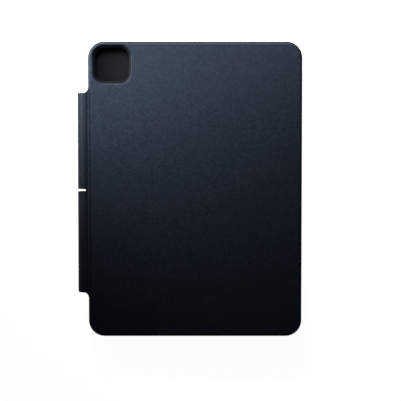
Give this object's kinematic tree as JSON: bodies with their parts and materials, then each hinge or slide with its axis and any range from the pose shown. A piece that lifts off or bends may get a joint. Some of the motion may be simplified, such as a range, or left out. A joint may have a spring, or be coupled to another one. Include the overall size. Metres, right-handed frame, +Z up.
{
  "type": "tablet keyboard case",
  "caption": "Folding keyboard case for an 11-inch tablet: a leather-look tray with a camera cutout and a pencil flap, hinged to a slim keyboard with a trackpad.",
  "frame": {"origin": "on the table, under the middle of the closed case and its flap", "axes": "+X towards the hinge edge, +Y towards the camera end, +Z up, out of the back panel; the case lies closed on its keyboard half"},
  "size_m": [0.1906, 0.251, 0.0207],
  "materials": {
    "dark_leather": "fine matt grain",
    "cover_plastic": "fine texture",
    "foot_rubber": "matt",
    "deck_plastic": "fine texture",
    "bare_aluminium": "bare sheet",
    "clear_film": "milky film",
    "dome_rubber": "smooth",
    "scissor_plastic": "moulded",
    "board_green": "solder mask",
    "shield_steel": "plated sheet",
    "cell_foil": "foil pouch",
    "ribbon_film": "film",
    "light_lens": "diffusing",
    "switch_plastic": "moulded",
    "magnet_metal": "nickel plate",
    "screw_steel": "plated",
    "trackpad_glass": "smooth satin",
    "hinge_steel": "dark plated",
    "washer_brass": "bare",
    "frame_plastic": "satin",
    "grey_felt": "brushed microfibre",
    "bezel_plastic": "satin",
    "button_plastic": "satin",
    "key_plastic": "fine texture"
  },
  "bodies": {
    "keyboard_base": {"base_skin": "dark_leather", "bottom_cover": "cover_plastic", "rubber_feet": "foot_rubber", "keyboard_deck": "deck_plastic", "deck_gasket": "foot_rubber", "key_backplate": "bare_aluminium", "membrane_sheet": "clear_film", "rubber_domes": "dome_rubber", "scissor_supports": "scissor_plastic", "circuit_board": "board_green", "radio_module": "shield_steel", "battery_pack": "cell_foil", "ribbon_cable": "ribbon_film", "charging_port": "shield_steel", "status_lights": "light_lens", "base_magnets": "magnet_metal", "wake_magnet": "magnet_metal", "flap_keeper": "shield_steel", "base_screws": "screw_steel", "trackpad_bracket": "shield_steel", "trackpad_switch": "switch_plastic", "hinge_base_brackets": "hinge_steel", "hinge_pins": "screw_steel", "friction_washers": "washer_brass", "hinge_cover": "cover_plastic", "hinge_screws": "screw_steel"},
    "tray": {"back_skin": "dark_leather", "back_shell": "cover_plastic", "tray_frame": "frame_plastic", "tray_lining": "grey_felt", "camera_bezel": "bezel_plastic", "tray_magnets": "magnet_metal", "hinge_tray_brackets": "hinge_steel", "flap_crease": "dark_leather"},
    "pencil_flap": {"flap_skin": "dark_leather", "flap_core": "cover_plastic", "flap_lining": "grey_felt", "flap_magnets": "magnet_metal"},
    "power_switch": {"power_switch": "switch_plastic"},
    "trackpad": {"trackpad": "trackpad_glass"},
    "volume_up_button": {"volume_up_button": "button_plastic"},
    "volume_down_button": {"volume_down_button": "button_plastic"},
    "power_button": {"power_button": "button_plastic"},
    "function_keys": {"function_keys": "key_plastic"},
    "number_keys": {"number_keys": "key_plastic"},
    "backspace_key": {"backspace_key": "key_plastic"},
    "tab_key": {"tab_key": "key_plastic"},
    "upper_letter_keys": {"upper_letter_keys": "key_plastic"},
    "caps_lock_key": {"caps_lock_key": "key_plastic"},
    "home_letter_keys": {"home_letter_keys": "key_plastic"},
    "enter_key": {"enter_key": "key_plastic"},
    "left_shift_key": {"left_shift_key": "key_plastic"},
    "lower_letter_keys": {"lower_letter_keys": "key_plastic"},
    "right_shift_key": {"right_shift_key": "key_plastic"},
    "modifier_keys": {"modifier_keys": "key_plastic"},
    "space_bar": {"space_bar": "key_plastic"},
    "arrow_keys": {"arrow_keys": "key_plastic"}
  },
  "joints": [
    {"name": "tray_hinge", "type": "hinge", "parent": "keyboard_base", "child": "tray", "pos_m": [0.09235, 0, 0.008], "axis": [0, 1, 0], "range_deg": [0, 120]},
    {"name": "flap_fold", "type": "hinge", "parent": "tray", "child": "pencil_flap", "pos_m": [-0.08665, 0, 0.02], "axis": [0, 1, 0], "range_deg": [0, 100], "deforming": ["flap_crease"]},
    {"name": "power_switch_slide", "type": "slide", "parent": "keyboard_base", "child": "power_switch", "axis": [1, 0, 0], "range_m": [0, 0.003]},
    {"name": "trackpad_click", "type": "slide", "parent": "keyboard_base", "child": "trackpad", "axis": [0, 0, 1], "range_m": [-0.0003, 0], "stiffness_N_per_m": 1000, "springref_m": 0.0004},
    {"name": "volume_up_button_press", "type": "slide", "parent": "tray", "child": "volume_up_button", "axis": [1, 0, 0], "range_m": [0, 0.0003], "stiffness_N_per_m": 2000, "springref_m": -0.0003},
    {"name": "volume_down_button_press", "type": "slide", "parent": "tray", "child": "volume_down_button", "axis": [1, 0, 0], "range_m": [0, 0.0003], "stiffness_N_per_m": 2000, "springref_m": -0.0003},
    {"name": "power_button_press", "type": "slide", "parent": "tray", "child": "power_button", "axis": [0, -1, 0], "range_m": [0, 0.0003], "stiffness_N_per_m": 2000, "springref_m": -0.0003},
    {"name": "function_keys_press", "type": "slide", "parent": "keyboard_base", "child": "function_keys", "axis": [0, 0, 1], "range_m": [-0.001, 0], "stiffness_N_per_m": 4200, "springref_m": 0.001, "deforming": ["rubber_domes", "scissor_supports"]},
    {"name": "number_keys_press", "type": "slide", "parent": "keyboard_base", "child": "number_keys", "axis": [0, 0, 1], "range_m": [-0.001, 0], "stiffness_N_per_m": 3900, "springref_m": 0.001, "deforming": ["rubber_domes", "scissor_supports"]},
    {"name": "backspace_key_press", "type": "slide", "parent": "keyboard_base", "child": "backspace_key", "axis": [0, 0, 1], "range_m": [-0.001, 0], "stiffness_N_per_m": 300, "springref_m": 0.001, "deforming": ["rubber_domes", "scissor_supports"]},
    {"name": "tab_key_press", "type": "slide", "parent": "keyboard_base", "child": "tab_key", "axis": [0, 0, 1], "range_m": [-0.001, 0], "stiffness_N_per_m": 300, "springref_m": 0.001, "deforming": ["rubber_domes", "scissor_supports"]},
    {"name": "upper_letter_keys_press", "type": "slide", "parent": "keyboard_base", "child": "upper_letter_keys", "axis": [0, 0, 1], "range_m": [-0.001, 0], "stiffness_N_per_m": 3900, "springref_m": 0.001, "deforming": ["rubber_domes", "scissor_supports"]},
    {"name": "caps_lock_key_press", "type": "slide", "parent": "keyboard_base", "child": "caps_lock_key", "axis": [0, 0, 1], "range_m": [-0.001, 0], "stiffness_N_per_m": 300, "springref_m": 0.001, "deforming": ["rubber_domes", "scissor_supports"]},
    {"name": "home_letter_keys_press", "type": "slide", "parent": "keyboard_base", "child": "home_letter_keys", "axis": [0, 0, 1], "range_m": [-0.001, 0], "stiffness_N_per_m": 3300, "springref_m": 0.001, "deforming": ["rubber_domes", "scissor_supports"]},
    {"name": "enter_key_press", "type": "slide", "parent": "keyboard_base", "child": "enter_key", "axis": [0, 0, 1], "range_m": [-0.001, 0], "stiffness_N_per_m": 300, "springref_m": 0.001, "deforming": ["rubber_domes", "scissor_supports"]},
    {"name": "left_shift_key_press", "type": "slide", "parent": "keyboard_base", "child": "left_shift_key", "axis": [0, 0, 1], "range_m": [-0.001, 0], "stiffness_N_per_m": 300, "springref_m": 0.001, "deforming": ["rubber_domes", "scissor_supports"]},
    {"name": "lower_letter_keys_press", "type": "slide", "parent": "keyboard_base", "child": "lower_letter_keys", "axis": [0, 0, 1], "range_m": [-0.001, 0], "stiffness_N_per_m": 3000, "springref_m": 0.001, "deforming": ["rubber_domes", "scissor_supports"]},
    {"name": "right_shift_key_press", "type": "slide", "parent": "keyboard_base", "child": "right_shift_key", "axis": [0, 0, 1], "range_m": [-0.001, 0], "stiffness_N_per_m": 300, "springref_m": 0.001, "deforming": ["rubber_domes", "scissor_supports"]},
    {"name": "modifier_keys_press", "type": "slide", "parent": "keyboard_base", "child": "modifier_keys", "axis": [0, 0, 1], "range_m": [-0.001, 0], "stiffness_N_per_m": 1500, "springref_m": 0.001, "deforming": ["rubber_domes", "scissor_supports"]},
    {"name": "space_bar_press", "type": "slide", "parent": "keyboard_base", "child": "space_bar", "axis": [0, 0, 1], "range_m": [-0.001, 0], "stiffness_N_per_m": 900, "springref_m": 0.001, "deforming": ["rubber_domes", "scissor_supports"]},
    {"name": "arrow_keys_press", "type": "slide", "parent": "keyboard_base", "child": "arrow_keys", "axis": [0, 0, 1], "range_m": [-0.001, 0], "stiffness_N_per_m": 1200, "springref_m": 0.001, "deforming": ["rubber_domes", "scissor_supports"]}
  ]
}
